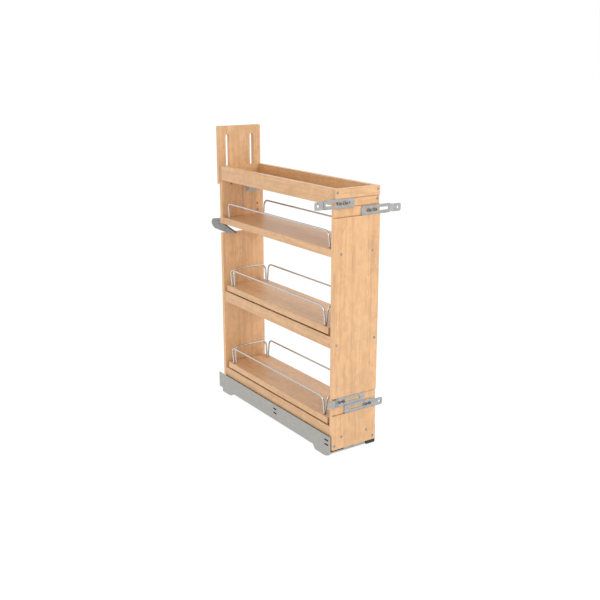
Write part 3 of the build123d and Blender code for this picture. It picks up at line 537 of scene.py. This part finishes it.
def addScrew(work, tip, crown, headRadius, shankRadius, headHeight, dome, turn):
    # crown is the middle of the head's outer face, tip the far end of the shank
    inward = (tip - crown).normalized()
    side = inward.orthogonal().normalized()
    lift = inward.cross(side)
    around = fasteners["around"]
    rings = []
    for share in fasteners["rings"]:
        ring = []
        for step in range(around if share else 1):
            angle = 2 * math.pi * step / around + turn
            x, y = share * math.cos(angle - turn), share * math.sin(angle - turn)
            sink = dome * share ** 2.4 + fasteners["recessDepth"] * crossDepth(x, y)
            spoke = side * math.cos(angle) + lift * math.sin(angle)
            ring.append(work.verts.new(crown + spoke * share * headRadius + inward * sink))
        rings.append(ring)
    ease = fasteners["rimEase"]
    for depth, radius in ((headHeight - ease, headRadius), (headHeight, headRadius - ease),
                          (headHeight, shankRadius), ((tip - crown).length - shankRadius, shankRadius)):
        rings.append(addRing(work, crown + inward * depth, side * radius, lift * radius, turn))
    rings.append([work.verts.new(tip)])
    for ring, following in zip(rings, rings[1:]):
        for step in range(around):
            after = (step + 1) % around
            corners = [ring[step % len(ring)], ring[after % len(ring)],
                       following[after % len(following)], following[step % len(following)]]
            corners = list(dict.fromkeys(corners))
            work.faces.new(corners)


def addWasher(work, center, axis, outer, inner, thickness):
    around = fasteners["around"]
    side = axis.orthogonal().normalized()
    lift = axis.cross(side)
    ease = thickness * fasteners["washerEase"]
    half = thickness / 2
    profile = ((inner, -half), (outer - ease, -half), (outer, -half + ease), (outer, half - ease),
               (outer - ease, half), (inner, half))
    rings = [addRing(work, center + axis * place, side * radius, lift * radius) for radius, place in profile]
    for ring, following in zip(rings, rings[1:] + rings[:1]):
        for step in range(around):
            after = (step + 1) % around
            work.faces.new((ring[step], ring[after], following[after], following[step]))


# head radius, shank radius, head height, dome of each group, in metres
flushScrew = (0.0036, 0.0020, 0.0020, 0.0)
panScrew = (0.0040, 0.0020, 0.0026, 0.0011)
smallScrew = (0.0032, 0.0016, 0.0018, 0.0007)
screwGroups = {
    "front_panel_screws": flushScrew,
    "rear_panel_screws": flushScrew,
    "tray_screws": flushScrew,
    "base_screws": flushScrew,
    "flange_screws": flushScrew,
    "fitting_screws": smallScrew,
    "cross_bar_screw": (0.0030, 0.0016, 0.0018, 0.0006),
    "bracket_screws": panScrew,
    "plate_screws": panScrew,
    "washers": panScrew,
}
for node, (headRadius, shankRadius, headHeight, dome) in screwGroups.items():
    work = bmesh.new()
    for index, (low, high, points) in enumerate(loosePieces(node)):
        extent = high - low
        center = (low + high) / 2
        thin = min(range(3), key=lambda axis: extent[axis])
        if extent[thin] < fasteners["washerLimit"]:
            axis = Vector([1.0 if place == thin else 0.0 for place in range(3)])
            inner = shankRadius + fasteners["washerPlay"]
            addWasher(work, center, axis, max(extent) / 2, inner, extent[thin])
            continue
        long = max(range(3), key=lambda axis: extent[axis])
        if node == "cross_bar_screw":
            long = 1
        # the head is the end with the wider ring of points
        ends = []
        for edge in (low[long], high[long]):
            middle = center.copy()
            middle[long] = edge
            near = [point for point in points if abs(point[long] - edge) < fasteners["headReach"]]
            ends.append(max((point - middle).length for point in near))
        crown, tip = center.copy(), center.copy()
        headLow = ends[0] > ends[1]
        crown[long] = low[long] if headLow else high[long]
        tip[long] = high[long] if headLow else low[long]
        turn = fasteners["firstTurn"] + index * fasteners["turnStep"]
        addScrew(work, tip, crown, headRadius, shankRadius, headHeight, dome, turn)
    bmesh.ops.recalc_face_normals(work, faces=work.faces)
    mesh = bpy.data.meshes.new(node)
    work.to_mesh(mesh)
    work.free()
    softEdges(mesh, math.radians(38))
    addPiece(f"{node}_finished", mesh, node, finishes[slotOf[node]])
print("fasteners made")


# floor, light and camera

studio = {
    "floorShade": 0.10,
    "floorMottle": 0.01,
    "floorGlow": 0.94,
    "worldColor": (1.0, 1.0, 1.0),
    "worldStrength": 1.0,
    "floorSize": 60.0,
}


def studioFloor():
    half = studio["floorSize"] / 2
    mesh = bpy.data.meshes.new("studioFloor")
    corners = [(-half, -half, 0), (half, -half, 0), (half, half, 0), (-half, half, 0)]
    mesh.from_pydata(corners, [], [(0, 1, 2, 3)])
    floor = bpy.data.objects.new("studioFloor", mesh)
    bpy.context.scene.collection.objects.link(floor)
    mat, tree, shader = newMaterial("paleFloor")
    soft = noise(tree, placed(tree, (3.0, 3.0, 3.0)), 3.0, 0.5)
    dark, pale = (grey(studio["floorShade"] + side * studio["floorMottle"]) for side in (-1, 1))
    tree.links.new(ramp(tree, soft, ((0.3, dark), (0.7, pale))), shader.inputs["Base Color"])
    shader.inputs["Roughness"].default_value = 0.9
    shader.inputs["Specular IOR Level"].default_value = 0.0
    shader.inputs["Emission Color"].default_value = (1.0, 1.0, 1.0, 1.0)
    shader.inputs["Emission Strength"].default_value = studio["floorGlow"]
    mesh.materials.append(mat)


def areaLight(name, place, aim, size, power):
    data = bpy.data.lights.new(name, "AREA")
    data.shape = "SQUARE"
    data.size = size
    data.energy = power
    lamp = bpy.data.objects.new(name, data)
    lamp.location = place
    lamp.rotation_euler = (Vector(aim) - Vector(place)).to_track_quat("-Z", "Y").to_euler()
    bpy.context.scene.collection.objects.link(lamp)


studioFloor()
world = bpy.data.worlds.new("studioWorld")
bpy.context.scene.world = world
world.use_nodes = True
sky = world.node_tree.nodes["Background"]
sky.inputs["Color"].default_value = (*studio["worldColor"], 1.0)
sky.inputs["Strength"].default_value = studio["worldStrength"]
areaLight("keyLight", (0.9, -2.2, 2.6), (0.0, -0.1, 0.3), 0.9, 30.0)
areaLight("fillLight", (-2.3, -1.5, 1.2), (0.0, 0.1, 0.3), 1.4, 17.0)

view = {
    "place": (-1.18581, -1.79925, 0.92655),
    "aim": (-0.018594, -0.070297, 0.341489),
    "lens": 51.54,
    "sensor": 36.0,
}
cameraData = bpy.data.cameras.new("studioCamera")
cameraData.lens = view["lens"]
cameraData.sensor_width = view["sensor"]
camera = bpy.data.objects.new("studioCamera", cameraData)
camera.location = view["place"]
camera.rotation_euler = (Vector(view["aim"]) - Vector(view["place"])).to_track_quat("-Z", "Y").to_euler()
bpy.context.scene.collection.objects.link(camera)
bpy.context.scene.camera = camera
bpy.context.scene.view_settings.view_transform = "Standard"
print("studio ready")
